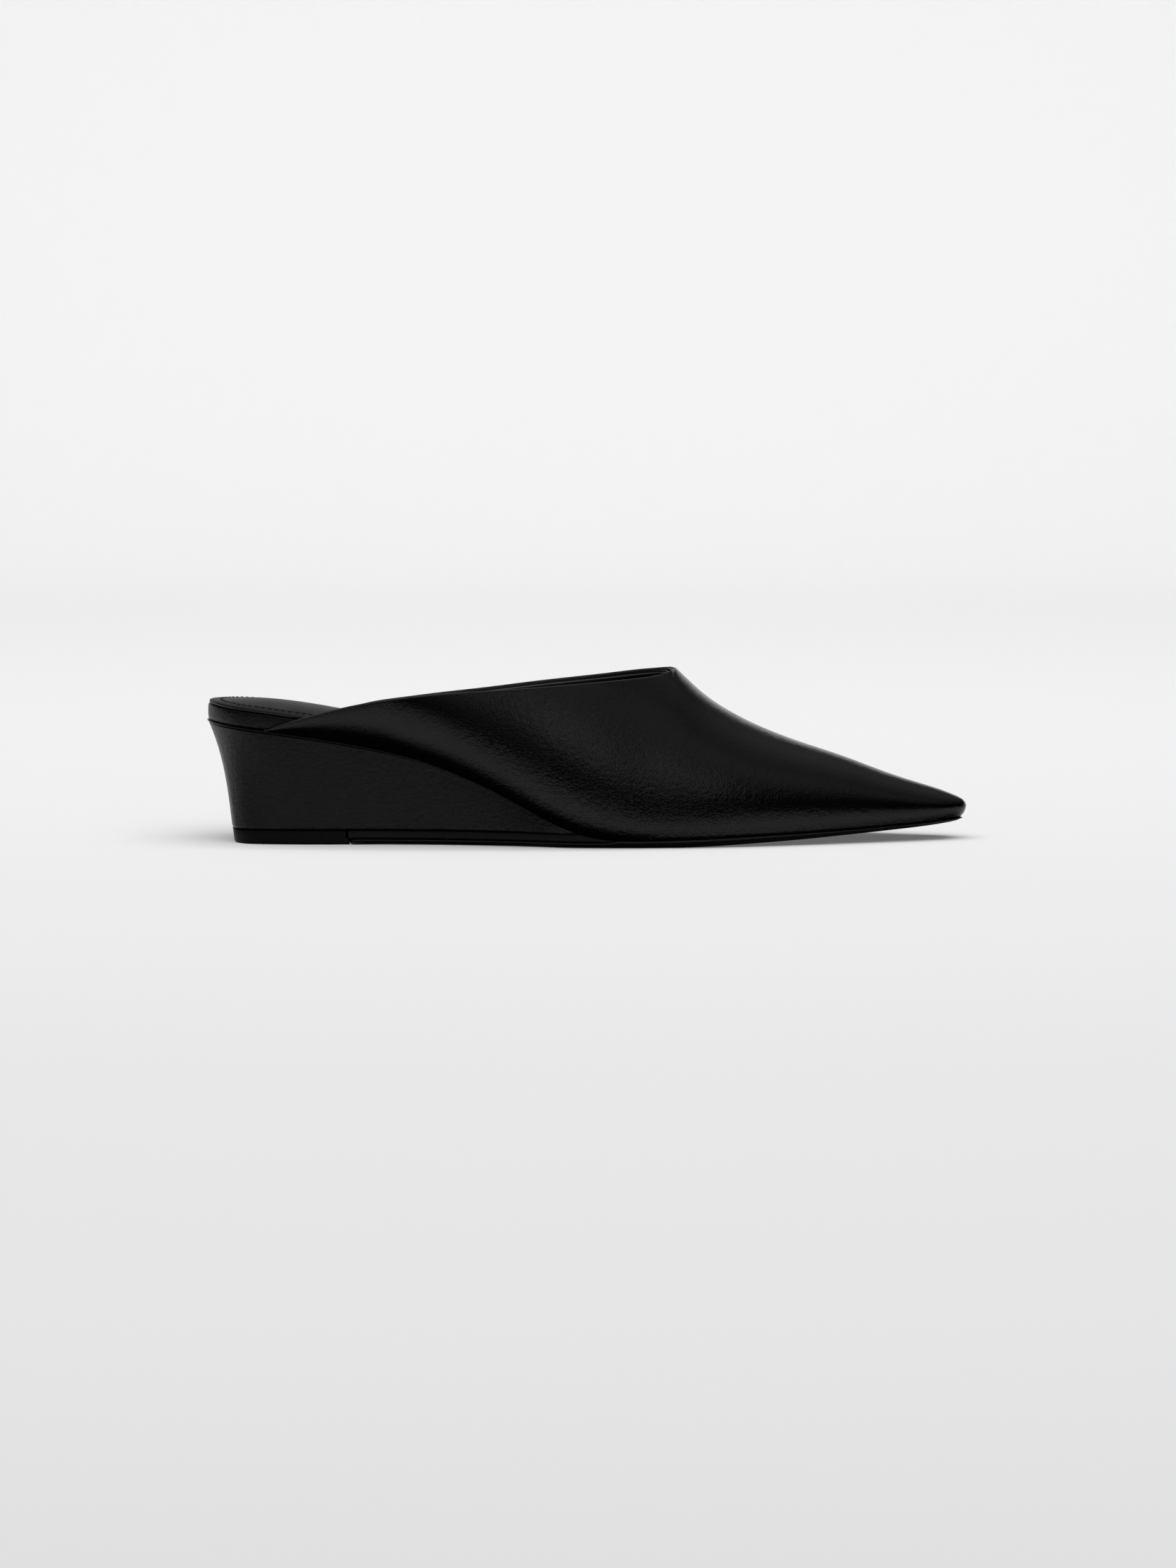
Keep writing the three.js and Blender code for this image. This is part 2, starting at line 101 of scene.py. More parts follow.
# Outsole and heel lift
OUTSOLE_THICKNESS = 2.0
OUTSOLE_START = 56.0
OUTSOLE_ARCH = 5.6  # how far the sheet's back end arches towards the heel lift
OUTSOLE_LIP = 0.6
OUTSOLE_BEVEL = 1.6
TOE_BEVEL = 0.8
OUTSOLE_JOIN = 116.0  # where the sheet starts to leave the wedge's foot for the feather line
LIFT_END = 49.2
LIFT_INSET = 0.2
LIFT_TAPER = 0.5
LIFT_LIP = 1.3  # the lift's lower front edge stands out this far
LIFT_LIP_LENGTH = 3.0
LIFT_LIP_TOP = (1.6, 2.4)
HEEL_ROUND = 5.0

SIDES = ("lateral", "medial")
SIGN = {"lateral": -1.0, "medial": 1.0}
WING_START = {"lateral": 21.0, "medial": 37.0}
FULLNESS = {"lateral": 0.47, "medial": 0.52}  # how far the flank bulges on its way to the ridge


def table(columns, rows):
    """Turns a header and rows of numbers into a dictionary of columns."""
    return dict(zip(columns.split(), np.array(rows, float).T))


# Stations of the last: the feather line's middle, half widths and height, the ridge's height and
# place across, and how far out and up from the feather line the widest line lies.
LAST = table("x centre lateral medial feather ridge ridge_y roll rise", [
    [0, 0, 0, 0, 42.8, 88, 0, 0.8, 6],
    [4, 0, 14.3, 14.3, 42.3, 89, 0, 0.8, 6],
    [10, 0, 21.6, 21.6, 41.6, 90, 0, 0.9, 6],
    [22, 0, 27.5, 27.5, 40.2, 92, 1, 3.0, 9],
    [36, 0, 29.1, 29.1, 38.4, 94, 2, 3.8, 12],
    [50, 0, 29.0, 28.5, 36.1, 95, 3, 4.2, 15],
    [66, 0, 28.8, 27.0, 32.8, 95, 4, 4.5, 17],
    [80, 0, 29.7, 25.6, 28.6, 94.5, 5, 4.7, 17],
    [95, 0, 31.6, 25.2, 22.6, 93, 6, 4.7, 15.5],
    [110, 0, 34.2, 26.7, 15.1, 89.5, 6.5, 4.4, 15],
    [122, 0, 36.3, 29.1, 8.7, 85, 7, 3.8, 14.5],
    [134, 0, 37.7, 31.8, 4.4, 79.5, 7, 3.0, 12.5],
    [146, 0, 38.3, 34.2, 2.9, 73, 7, 2.0, 9.2],
    [157, 0.1, 37.9, 35.9, 2.8, 66.3, 6.7, 1.3, 6.4],
    [165, 0.2, 37.3, 36.2, 2.95, 59.9, 6.4, 1.0, 5.6],
    [173.6, 0.3, 36.2, 35.9, 3.2, 51.9, 6, 0.9, 5.6],
    [182, 0.4, 34.6, 34.9, 3.5, 45.9, 5.6, 0.9, 6.2],
    [195, 0.7, 31.4, 32.0, 3.95, 39.2, 5, 0.9, 6.8],
    [210, 1.1, 26.9, 27.5, 4.5, 33.5, 4.5, 0.9, 6.5],
    [225, 1.6, 21.9, 22.3, 5.1, 28.5, 4, 0.9, 6.0],
    [240, 2.2, 16.6, 16.8, 5.9, 22.9, 3.5, 0.9, 5.4],
    [252, 2.6, 12.1, 12.1, 6.6, 19.1, 3.2, 0.9, 4.8],
    [260, 2.9, 8.2, 8.2, 7.2, 16.5, 3, 1.2, 4.3],
    [265.6, 3, 0, 0, 7.6, 14.2, 3, 1.9, 3.9],
])
TOPLINE = {
    "lateral": table("x z", [
        [21, 40.3], [26, 42.2], [34, 44.7], [52, 49.3], [67, 51.9], [82, 53.6], [97, 54.6],
        [112, 55.6], [127, 56.6], [142, 57.6], [152, 58.3], [159, 59], [165, 59.9],
    ]),
    "medial": table("x z", [
        [37, 38.2], [42, 40.8], [50, 44.2], [67, 47.6], [82, 49.6], [97, 51.3], [112, 53.2],
        [127, 55], [142, 56.9], [152, 58.4], [159, 59.3], [165, 59.9],
    ]),
}
# Half widths of the wedge at its foot
WEDGE_FOOT = table("x lateral medial", [
    [8.6, 0, 0], [9.4, 12.8, 12.8], [11, 17.4, 17.4], [14, 20.5, 20.5], [19, 22.4, 22.4],
    [28, 23.7, 23.5], [40, 24.2, 23.9],
    [56, 23.7, 22.3], [72, 24.4, 21], [88, 26.4, 21], [104, 29.6, 22.9], [116, 33, 25.8],
    [128, 37.1, 30.4], [134, 37.7, 31.8], [146, 38.3, 34.2],
])
TOE_SPRING = table("x z", [
    [167, 0], [177, 0.3], [192, 1], [207, 1.8], [222, 2.8], [237, 3.9], [252, 5.1], [265.6, 6.5],
])
# The board's thickness, and how far the padded sock rises in its middle
FOOTBED = table("x board crown", [
    [0, 5.3, 1.0], [20, 5.3, 2.1], [40, 5.2, 2.3], [80, 4.4, 2], [120, 3.2, 1.6], [160, 2.5, 1.4],
    [220, 2.2, 0.9], [265.6, 1.8, 0.3],
])


def curve(rows, column, power=1):
    """A natural cubic curve through one column of a table, as a function of its x column."""
    xs = rows["x"]
    ys = rows[column] ** power
    count = len(xs)
    step = np.diff(xs)
    matrix = np.eye(count)
    turn = np.zeros(count)
    for i in range(1, count - 1):
        matrix[i, i - 1:i + 2] = step[i - 1], 2 * (step[i - 1] + step[i]), step[i]
        turn[i] = 6 * ((ys[i + 1] - ys[i]) / step[i] - (ys[i] - ys[i - 1]) / step[i - 1])
    bend = np.linalg.solve(matrix, turn)

    def value(x):
        x = np.asarray(x, float)
        i = np.clip(np.searchsorted(xs, x, side="left") - 1, 0, count - 2)
        b = (x - xs[i]) / step[i]
        a = 1 - b
        bulge = ((a ** 3 - a) * bend[i] + (b ** 3 - b) * bend[i + 1]) * step[i] ** 2 / 6
        return a * ys[i] + b * ys[i + 1] + bulge

    return value


last = {key: curve(LAST, key) for key in ("centre", "feather", "ridge", "ridge_y", "roll", "rise")}
feather_square = {side: curve(LAST, side, 2) for side in SIDES}
foot_square = {side: curve(WEDGE_FOOT, side, 2) for side in SIDES}
topline = {side: curve(TOPLINE[side], "z") for side in SIDES}
spring = curve(TOE_SPRING, "z")
board_thickness = curve(FOOTBED, "board")
crown = curve(FOOTBED, "crown")


def smoothstep(low, high, x):
    t = np.clip((np.asarray(x, float) - low) / (high - low), 0, 1)
    return t * t * (3 - 2 * t)


def mix(a, b, t):
    return a + (b - a) * t


def unit(vectors):
    length = np.linalg.norm(vectors, axis=-1, keepdims=True)
    return vectors / np.maximum(length, 1e-12)


def root(square):
    return np.sqrt(np.maximum(0, square))


def stack(x, y, z):
    return np.stack(np.broadcast_arrays(x, y, z), axis=-1).astype(float)


def plan_normal(side, x):
    """Plan normal of the feather line at the stations x, pointing away from the foot."""
    reach = 0.01
    low = np.maximum(0, x - reach)
    high = np.minimum(FEATHER_LENGTH, x + reach)
    square = feather_square[side]
    slope = (square(high) - square(low)) / (high - low) / 2
    return unit(stack(-slope, SIGN[side] * root(square(x)), 0))


def feather_points(side, x, inset=0.0, z=None):
    """Points of the feather line, moved in by `inset` and set to the heights z."""
    height = last["feather"](x) if z is None else z
    y = last["centre"](x) + SIGN[side] * root(feather_square[side](x))
    return stack(x, y, height) - plan_normal(side, x) * np.reshape(inset, (-1, 1))


def ridge_slope(x):
    return last["ridge"](x + 0.5) - last["ridge"](x - 0.5)


def bezier(controls, t):
    """A Bezier curve of any degree; controls are (n, 3) arrays and t is (n, m)."""
    layers = [c[:, None, :] for c in controls]
    t = t[..., None]
    while len(layers) > 1:
        layers = [a * (1 - t) + b * t for a, b in zip(layers, layers[1:])]
    return layers[0]


def flank_controls(side, x, height):
    """Control points of a flank: the roll over the feather line, then the rise to the ridge."""
    feather = feather_points(side, x)
    share = mix(1.0, WIDEST_SHARE, smoothstep(*WIDEST_RUN, x))
    rise = np.minimum(last["rise"](x), np.maximum(0, height - feather[:, 2]) * share)
    roll = last["roll"](x) * rise / last["rise"](x)
    widest = feather + plan_normal(side, x) * roll[:, None]
    widest[:, 2] += rise
    tuck = mix(WING_TUCK, VAMP_TUCK, smoothstep(BALL, THROAT, x))
    tuck = mix(VAMP_TUCK, tuck, smoothstep(*TUCK_RUN, x))
    under = widest - stack(0, 0, rise * (1 - tuck))
    turn = np.maximum(0, (x - NOSE_START) / (FEATHER_LENGTH - NOSE_START))
    ridge_x = x - NOSE_SETBACK * turn ** 2
    ridge = stack(ridge_x, last["ridge_y"](ridge_x), last["ridge"](ridge_x))
    fullness = mix(FULLNESS[side], VAMP_FULLNESS, smoothstep(*FULLNESS_RUN, x))
    fullness = mix(fullness, NOSE_FULLNESS, smoothstep(NOSE_START, FEATHER_LENGTH, x))
    over = widest + stack(0, 0, fullness * (ridge[:, 2] - widest[:, 2]))
    brow = mix(ridge, widest, fullness[:, None])
    brow[:, 2] = ridge[:, 2] + ridge_slope(ridge_x) * (brow[:, 0] - ridge_x)
    return (feather, under, widest), (widest, over, brow, ridge)


def topline_cut(rise, height):
    """Where the rise of each station reaches the topline's height, 1 where it is closed."""
    low = np.zeros(len(height))
    high = np.ones(len(height))
    for _ in range(30):
        middle = (low + high) / 2
        below = bezier(rise, middle[:, None])[:, 0, 2] < height
        low = np.where(below, middle, low)
        high = np.where(below, high, middle)
    return np.where(rise[3][:, 2] <= height, 1.0, (low + high) / 2)


SAMPLES = 96  # points at which the way up a flank is measured
TOP_DROP = 0.45  # the cut edge lies this much under the topline, whose fold rounds over it
THROAT_RUN = 8.0  # length before the throat over which the fold changes


def outer_flank(side, x, fractions):
    """Outer points at stations x and at fractions of the way from feather line to topline."""
    drop = TOP_DROP * (1 - smoothstep(THROAT - THROAT_RUN, THROAT, x))
    height = np.where(x < THROAT, topline[side](x) - drop, np.inf)
    height = np.where(x <= WING_START[side], last["feather"](x), height)
    roll, rise = flank_controls(side, x, height)
    cut = topline_cut(rise, height)

    def at(t):
        low = bezier(roll, np.minimum(t, 1))
        high = bezier(rise, np.maximum(t - 1, 0) * cut[:, None])
        return np.where((t < 1)[..., None], low, high)

    even = np.broadcast_to(np.linspace(0, 2, SAMPLES), (len(x), SAMPLES))
    pieces = np.linalg.norm(np.diff(at(even), axis=1), axis=2)
    travel = np.concatenate([np.zeros((len(x), 1)), np.cumsum(pieces, axis=1)], axis=1)
    t = np.stack([np.interp(fractions * way[-1], way, row) for way, row in zip(travel, even)])
    return at(t)


def ease_grid(points, rounds, axis):
    """Evens out the grid along one axis, with both ends held."""
    grid = np.moveaxis(points, axis, 0).copy()
    for _ in range(rounds):
        grid[1:-1] = 0.25 * grid[:-2] + 0.5 * grid[1:-1] + 0.25 * grid[2:]
    return np.moveaxis(grid, 0, axis)


def both_ends(a, b, count):
    """Stations from a to b that crowd at both ends."""
    return a + (b - a) * (1 - np.cos(np.pi * np.linspace(0, 1, count))) / 2


def towards_end(a, b, count):
    """Stations from a to b that crowd at b."""
    return a + (b - a) * np.sin(np.pi / 2 * np.linspace(0, 1, count))


def towards_start(a, b, count):
    """Stations from a to b that crowd at a."""
    return a + (b - a) * (1 - np.cos(np.pi / 2 * np.linspace(0, 1, count)))


def swell(x, place, width, height):
    """A smooth round swelling of a profile around one place."""
    return height * np.exp(-((x - place) / width) ** 2)


SHARP_ANGLE = 60.0  # degrees between two faces from which their edge is shaded as a sharp one


class Builder:
    """Collects grids of points and turns them into one closed Blender mesh."""

    def __init__(self):
        self.points = []
        self.faces = []
        self.slots = []
        self.count = 0

    def grid(self, points, slot=0, close=False):
        """Adds a grid of points and its faces; a closed one joins its last column to the first."""
        rows, columns = points.shape[:2]
        index = self.count + np.arange(rows * columns).reshape(rows, columns)
        if close:
            index = np.concatenate([index, index[:, :1]], axis=1)
        corners = [index[:-1, :-1], index[:-1, 1:], index[1:, 1:], index[1:, :-1]]
        quads = np.stack([c.ravel() for c in corners], axis=1)
        self.points.append(points.reshape(-1, 3))
        self.faces.append(quads)
        self.slots.append(np.full(len(quads), slot))
        self.count += rows * columns

    def piece(self, name, materials, merge=0.002):
        """Makes the object, with points closer than `merge` joined."""
        points = (np.concatenate(self.points) + ORIGIN) * MM
        faces = np.concatenate(self.faces)
        slots = np.concatenate(self.slots)
        mesh = bpy.data.meshes.new(name)
        mesh.from_pydata(points.tolist(), [], faces.tolist())
        mesh.polygons.foreach_set("material_index", slots.astype(np.int32))
        work = bmesh.new()
        work.from_mesh(mesh)
        bmesh.ops.remove_doubles(work, verts=work.verts, dist=merge * MM)
        bmesh.ops.dissolve_degenerate(work, edges=work.edges, dist=merge * MM / 4)
        bmesh.ops.recalc_face_normals(work, faces=work.faces)
        work.to_mesh(mesh)
        work.free()
        for material in materials:
            mesh.materials.append(material)
        mesh.shade_smooth()
        mesh.set_sharp_from_angle(angle=np.radians(SHARP_ANGLE))
        item = bpy.data.objects.new(name, mesh)
        bpy.context.scene.collection.objects.link(item)
        return item


def finish_piece(item, slot, *nodes):
    """Fixes a piece to the body and hides the solids that it replaces. The slot argument is not
    used.
    """
    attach(item, "root")
    if nodes:
        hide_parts(*nodes)
    return item


# Where the shoe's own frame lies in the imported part's frame, from the CAD's boxes.
HEEL_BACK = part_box("wedge")[0].x / MM
lift_low, lift_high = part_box("heel_lift")
LIFT_MIDDLE = -0.095  # of the CAD lift's box, in the shoe's own frame
ORIGIN = np.array([HEEL_BACK, (lift_low.y + lift_high.y) / 2 / MM - LIFT_MIDDLE, 0.0])


def new_material(name):
    """An empty material: itself, its node tree, its shader and the object's coordinates."""
    material = bpy.data.materials.new(name)
    material.use_nodes = True
    tree = material.node_tree
    tree.nodes.clear()
    shader = tree.nodes.new("ShaderNodeBsdfPrincipled")
    output = tree.nodes.new("ShaderNodeOutputMaterial")
    tree.links.new(shader.outputs["BSDF"], output.inputs["Surface"])
    coords = tree.nodes.new("ShaderNodeTexCoord")
    return material, tree, shader, coords.outputs["Object"]


def noise_node(tree, coords, scale, detail=2.0, rough=0.5):
    node = tree.nodes.new("ShaderNodeTexNoise")
    node.inputs["Scale"].default_value = scale
    node.inputs["Detail"].default_value = detail
    node.inputs["Roughness"].default_value = rough
    tree.links.new(coords, node.inputs["Vector"])
    return node.outputs["Fac"]


def cells_node(tree, coords, scale):
    """Pores and creases of leather: distance to the edges of small uneven cells."""
    node = tree.nodes.new("ShaderNodeTexVoronoi")
    node.feature = "DISTANCE_TO_EDGE"
    node.inputs["Scale"].default_value = scale
    tree.links.new(coords, node.inputs["Vector"])
    return node.outputs["Distance"]


def math_node(tree, operation, a, b):
    """One sum or product, of numbers or of other nodes' outputs."""
    node = tree.nodes.new("ShaderNodeMath")
    node.operation = operation
    for socket, value in zip(node.inputs, (a, b)):
        if isinstance(value, (int, float)):
            socket.default_value = value
        else:
            tree.links.new(value, socket)
    return node.outputs[0]


def map_node(tree, value, low, high, to_low, to_high):
    """Maps the range from low to high onto another one, and stops at its ends."""
    node = tree.nodes.new("ShaderNodeMapRange")
    tree.links.new(value, node.inputs["Value"])
    ends = {"From Min": low, "From Max": high, "To Min": to_low, "To Max": to_high}
    for name, number in ends.items():
        node.inputs[name].default_value = number
    return node.outputs["Result"]


def bump_node(tree, height, strength, distance):
    node = tree.nodes.new("ShaderNodeBump")
    node.inputs["Strength"].default_value = strength
    node.inputs["Distance"].default_value = distance
    tree.links.new(height, node.inputs["Height"])
    return node.outputs["Normal"]


def tone(tree, factor, dark, light):
    """A colour between two, as RGB. The node's sockets share their names, so they go by number."""
    node = tree.nodes.new("ShaderNodeMix")
    node.data_type = "RGBA"
    tree.links.new(factor, node.inputs[0])
    node.inputs[6].default_value = (*dark, 1)
    node.inputs[7].default_value = (*light, 1)
    return node.outputs[2]


def grey(value, warmth=0.0):
    """A grey whose green and blue lie `warmth` under its red."""
    return (value, value - warmth, value - warmth)


def warped(tree, coords, size, amount):
    """Coordinates moved about by noise, so that the grain's cells run unevenly. Sizes in mm."""
    noise = tree.nodes.new("ShaderNodeTexNoise")
    noise.inputs["Scale"].default_value = 1 / (size * MM)
    noise.inputs["Detail"].default_value = 2.0
    tree.links.new(coords, noise.inputs["Vector"])
    shift = tree.nodes.new("ShaderNodeVectorMath")
    shift.operation = "MULTIPLY_ADD"
    tree.links.new(noise.outputs["Color"], shift.inputs[0])
    shift.inputs[1].default_value = (amount * MM, amount * MM, amount * MM)
    tree.links.new(coords, shift.inputs[2])
    return shift.outputs["Vector"]


WEAR_STARTS = (80, 105)  # stations between which the grain comes up to its full strength
WEAR_ENDS = (165, 215)
WING_WEAR = 0.45  # share of the grain behind and ahead of these stations
TOE_WEAR = 0.75


def worn_region(tree, coords):
    """One on the quarter, where the leather's grain shows most, and less towards its two ends."""
    split = tree.nodes.new("ShaderNodeSeparateXYZ")
    tree.links.new(coords, split.inputs["Vector"])
    along = split.outputs["X"]
    first, second = [(ORIGIN[0] + x) * MM for x in WEAR_STARTS]
    third, fourth = [(ORIGIN[0] + x) * MM for x in WEAR_ENDS]
    start = map_node(tree, along, first, second, WING_WEAR, 1.0)
    end = map_node(tree, along, third, fourth, 1.0, TOE_WEAR)
    return math_node(tree, "MULTIPLY", start, end)


# Skins. Sizes and depths are in mm, before a material's own strength.
PORE_WARP = (1.6, 1.1)  # size and reach of the noise that moves the pores about
PORE_EDGE = 0.18  # distance from a pore's edge at which the skin is level again
PORE_RELIEF = 0.4
CREASE_SIZE = 1.4  # times the grain's size
CREASE_RELIEF = 2.4
GRAIN_DEPTH = 0.12
GLOSS_PATCH = 28.0  # size of the slow changes of gloss and tone
PEBBLE_DEPTH = 0.3
RUBBER_PATCH = 20.0
NOISE_RANGE = (0.3, 0.7)  # where most of a noise node's values lie


def leather(name, dark, light, roughness, grain, grain_size=0.55, specular=0.4, worn=False):
    """Black leather: uneven pores, softer creases and a slow change of gloss."""
    material, tree, shader, coords = new_material(name)
    pores = cells_node(tree, warped(tree, coords, *PORE_WARP), 1 / (grain_size * MM))
    creases = noise_node(tree, coords, 1 / (grain_size * CREASE_SIZE * MM), 3.0, 0.55)
    patches = noise_node(tree, coords, 1 / (GLOSS_PATCH * MM), 2.0)
    pore_height = map_node(tree, pores, 0.0, PORE_EDGE, 0.0, 1.0)
    pore_relief = math_node(tree, "MULTIPLY", pore_height, PORE_RELIEF)
    crease_relief = math_node(tree, "MULTIPLY", creases, CREASE_RELIEF)
    height = math_node(tree, "ADD", pore_relief, crease_relief)
    if worn:
        height = math_node(tree, "MULTIPLY", height, worn_region(tree, coords))
    tree.links.new(bump_node(tree, height, grain, GRAIN_DEPTH * MM), shader.inputs["Normal"])
    tree.links.new(tone(tree, patches, dark, light), shader.inputs["Base Color"])
    wander = map_node(tree, patches, *NOISE_RANGE, roughness - 0.03, roughness + 0.04)
    tree.links.new(wander, shader.inputs["Roughness"])
    shader.inputs["Specular IOR Level"].default_value = specular
    return material


def rubber(name, dark, light, roughness, pebble, pebble_size, specular=0.35):
    """Matte black rubber, thread or edge finish with a pebbled skin."""
    material, tree, shader, coords = new_material(name)
    pebbles = noise_node(tree, coords, 1 / (pebble_size * MM), 3.0, 0.65)
    patches = noise_node(tree, coords, 1 / (RUBBER_PATCH * MM), 2.0)
    tree.links.new(bump_node(tree, pebbles, pebble, PEBBLE_DEPTH * MM), shader.inputs["Normal"])
    tree.links.new(tone(tree, patches, dark, light), shader.inputs["Base Color"])
    wander = map_node(tree, pebbles, *NOISE_RANGE, roughness - 0.05, roughness + 0.08)
    tree.links.new(wander, shader.inputs["Roughness"])
    shader.inputs["Specular IOR Level"].default_value = specular
    return material


NAPPA = leather("upper_nappa", grey(0.0007), grey(0.0012), roughness=0.19, grain=0.5,
                grain_size=1.15, specular=0.25, worn=True)
LINING = leather("lining_leather", grey(0.002, 0.0002), grey(0.003, 0.0002), roughness=0.5,
                 grain=0.3, specular=0.15)
# The lining's rolled edge is coloured far lighter than the lining: a painted highlight for the
# overhead light that its upturned edge catches.
BINDING_PAINTED_HIGHLIGHT = leather("lining_binding_painted_highlight", grey(0.06, 0.002), grey(0.075, 0.002), roughness=0.32,
                  grain=0.2, specular=0.5)
# The fold over the topline is the upper's black leather, coloured lighter: a painted highlight
# along its rounded edge.
FOLD_PAINTED_HIGHLIGHT = leather("topline_fold_painted_highlight", grey(0.014, 0.0005), grey(0.018, 0.0005), roughness=0.35, grain=0.3)
# The turned-in leather is the upper's black leather, coloured lighter as painted light: the
# overhead light on the top of the inner wall, whose lower part is left dark in shade.
TURNED_PAINTED_LIGHT = leather("turned_leather_painted_light", grey(0.02, 0.0005), grey(0.027, 0.0005), roughness=0.35,
                 grain=0.3)
WRAP = leather("wedge_wrap", grey(0.0012), grey(0.002), roughness=0.36, grain=0.7,
               grain_size=1.0, specular=0.24)
SOCK = leather("sock_leather", grey(0.0018, 0.0001), grey(0.0028, 0.0001), roughness=0.42,
               grain=0.3, specular=0.5)
THREAD = rubber("black_thread", grey(0.005), grey(0.009), roughness=0.45, pebble=0.3,
                pebble_size=0.15)
EDGE = rubber("base_edge", grey(0.002), grey(0.004), roughness=0.5, pebble=0.9, pebble_size=0.7,
              specular=0.2)
SHEET = rubber("outsole_rubber", grey(0.003), grey(0.005), roughness=0.45, pebble=0.3,
               pebble_size=0.4)
LIFT = rubber("lift_rubber", grey(0.0015), grey(0.003), roughness=0.55, pebble=0.3,
              pebble_size=0.4, specular=0.12)

WING_COUNT = 150
VAMP_COUNT = 130
FLANK_COUNT = 56
FLANK_EASE = 5  # rounds of evening out up the flank
RIM_STEPS = 6
FOLD_ROUND = 0.8  # how far the fold bulges over the topline, in half walls
THROAT_ROUND = 0.35
FOOT_ROUND = 0.25


def surface_normals(side, points, stations):
    """Outward normals of a flank's grid, level across the ridge and at the nose."""
    along = np.gradient(points, axis=0)
    across = np.gradient(points, axis=1)
    normals = np.cross(along, across) * -SIGN[side]
    normals[-1] = np.stack([across[-1, :, 2], 0 * across[-1, :, 0], -across[-1, :, 0]], axis=-1)
    closed = stations >= THROAT
    slope = ridge_slope(points[:, -1, 0])
    ridge_normal = stack(-slope, 0, 1)
    normals[closed, -1] = ridge_normal[closed]
    normals[0] = plan_normal(side, stations[:1])
    normals[:, 0] = plan_normal(side, stations)
    return unit(normals)


def rim_arc(outer, inner, lift, height):
    """Points of a rounded edge from the outer line to the inner one, bulging along lift."""
    height = np.reshape(height, (-1, 1))
    middle = (outer + inner) / 2
    radius = np.linalg.norm(outer - inner, axis=1) / 2
    angles = np.linspace(0, np.pi, RIM_STEPS + 1)
    reach = middle[:, None] + (outer - middle)[:, None] * np.cos(angles)[None, :, None]
    return reach + (lift * radius[:, None] * height)[:, None] * np.sin(angles)[None, :, None]


def flank_grid(side):
    """Stations of one flank, its outer and inner skin and its outward normals."""
    wing = towards_start(WING_START[side], THROAT, WING_COUNT)
    vamp = towards_end(THROAT, FEATHER_LENGTH, VAMP_COUNT)
    stations = np.concatenate([wing, vamp[1:]])
    outer = outer_flank(side, stations, np.linspace(0, 1, FLANK_COUNT))
    outer = ease_grid(outer, FLANK_EASE, 1)
    normals = surface_normals(side, outer, stations)
    skive = smoothstep(WING_START[side], WING_START[side] + SKIVE_LENGTH, stations)
    inner = outer - normals * mix(SKIVED_WALL, WALL, skive)[:, None, None]
    return stations, outer, inner, normals


def topline_lift(side, outer, normals):
    """Directions in which the topline's fold rounds over: away from the wall, in its surface."""
    top = outer[:WING_COUNT, -1]
    run = unit(np.gradient(top, axis=0))
    run[-1] = (0, -SIGN[side], 0)
    return unit(np.cross(normals[:WING_COUNT, -1], run)) * -SIGN[side]


def build_upper():
    """The upper: skin, lining, the fold along the topline, coloured lighter as a painted highlight,
    and the rounded edge at the sole.

    Also gives each side's inner topline with its directions, for the strips that run inside it.
    """
    body = Builder()
    edges = {}
    for side in SIDES:
        stations, outer, inner, normals = flank_grid(side)
        lift = topline_lift(side, outer, normals)
        near_throat = smoothstep(THROAT - THROAT_RUN, THROAT, stations[:WING_COUNT])
        round_top = mix(FOLD_ROUND, THROAT_ROUND, near_throat)
        rim = rim_arc(outer[:WING_COUNT, -1], inner[:WING_COUNT, -1], lift, round_top)
        down = np.tile((0.0, 0.0, -1.0), (len(stations), 1))
        foot = rim_arc(outer[:, 0], inner[:, 0], down, FOOT_ROUND)
        body.grid(outer)
        body.grid(inner, slot=1)
        # The rim along the topline takes the fold's lighter colour, a painted highlight.
        body.grid(rim, slot=2)
        body.grid(foot)
        edges[side] = (inner[:WING_COUNT, -1], lift, normals[:WING_COUNT, -1])
    item = body.piece("upper_leather", [NAPPA, LINING, FOLD_PAINTED_HIGHLIGHT])
    return item, edges


LINING_START = 52  # number of the wing's station from which the lining's edge can be seen
LINING_DROP = 0.6  # the lining's edge lies this far below the topline, on the turned-in leather
STRIP_BURIED = 0.3  # a strip's ends run this deep into the wall
STRIP_FADE = 14  # stations over which they do
STRIP_EASE = 6
# Profiles of the strips, as places above the lining's edge and out from the wall's inner face
LINING_EDGE = (
    (0.0, STRIP_BURIED), (0.0, -0.3), (-0.12, -0.48), (-0.32, -0.56), (-0.6, -0.5), (-1.6, -0.1),
    (-1.6, STRIP_BURIED),
)
TURNED_EDGE = (
    (0.5, STRIP_BURIED), (0.5, -0.02), (0.42, -0.06), (0.0, -0.08), (-0.3, -0.06),
    (-0.3, STRIP_BURIED),
)


